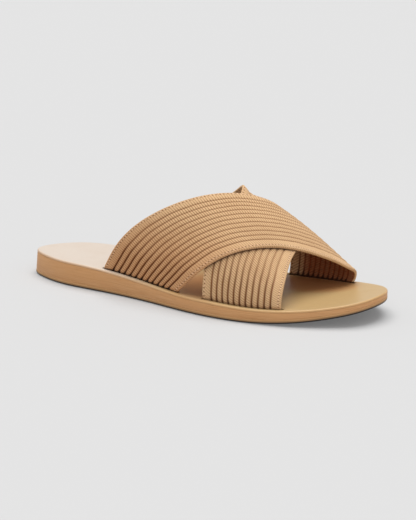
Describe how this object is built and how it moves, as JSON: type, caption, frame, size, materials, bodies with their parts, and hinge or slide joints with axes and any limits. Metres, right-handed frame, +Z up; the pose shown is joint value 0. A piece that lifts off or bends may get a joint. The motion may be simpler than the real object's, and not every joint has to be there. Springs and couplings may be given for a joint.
{
  "type": "cross strap sandal",
  "caption": "Flat slide sandal: wide ribbed webbing straps cross over the instep and enter slits along a thin leather sole.",
  "frame": {"origin": "on the ground, below the middle of the sandal's overall box", "axes": "+X from the heel to the toe, +Y to the big toe's side, +Z up from the ground"},
  "size_m": [0.256, 0.0902, 0.0692],
  "materials": {
    "outsole": "matt tan",
    "midsole": "waxed tan edge",
    "insole": "smooth natural leather, slightly glossy",
    "upper": "ribbed tan webbing with a fine twill"
  },
  "bodies": {
    "root": {"outsole": "outsole", "midsole": "midsole", "insole": "insole", "upper": "upper"}
  },
  "joints": []
}
